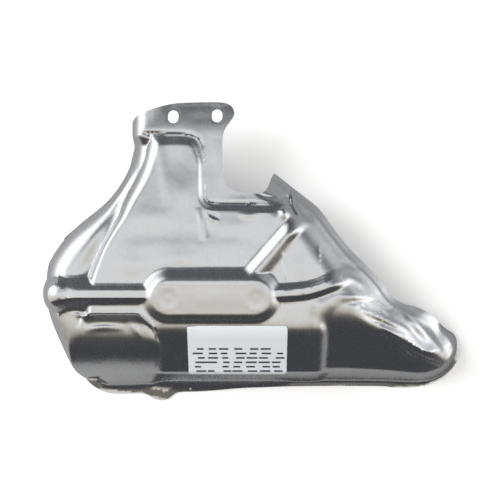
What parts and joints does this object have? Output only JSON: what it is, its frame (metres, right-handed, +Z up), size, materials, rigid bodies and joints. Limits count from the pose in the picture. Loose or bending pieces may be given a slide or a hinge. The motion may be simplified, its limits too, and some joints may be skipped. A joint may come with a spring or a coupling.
{
  "type": "exhaust heat shield",
  "caption": "Pressed aluminium exhaust heat shield: a thin drawn sheet with raised panel, ribs, dimpled pad, rounded nose and slotted bolting tab, carrying a paper label.",
  "frame": {"origin": "centre of the box round the part, on the plane of its rim", "axes": "+X along the longest side, from the round flank to the nose; +Y towards the bolting tab; +Z up through the crown, from the open side"},
  "size_m": [0.307, 0.2156, 0.05],
  "materials": {
    "aluminium_sheet": "bare mill-finish sheet with light scuffs",
    "label_paper": "matt white self-adhesive paper"
  },
  "bodies": {
    "root": {"heat_shield": "aluminium_sheet", "paper_label": "label_paper"}
  },
  "joints": []
}
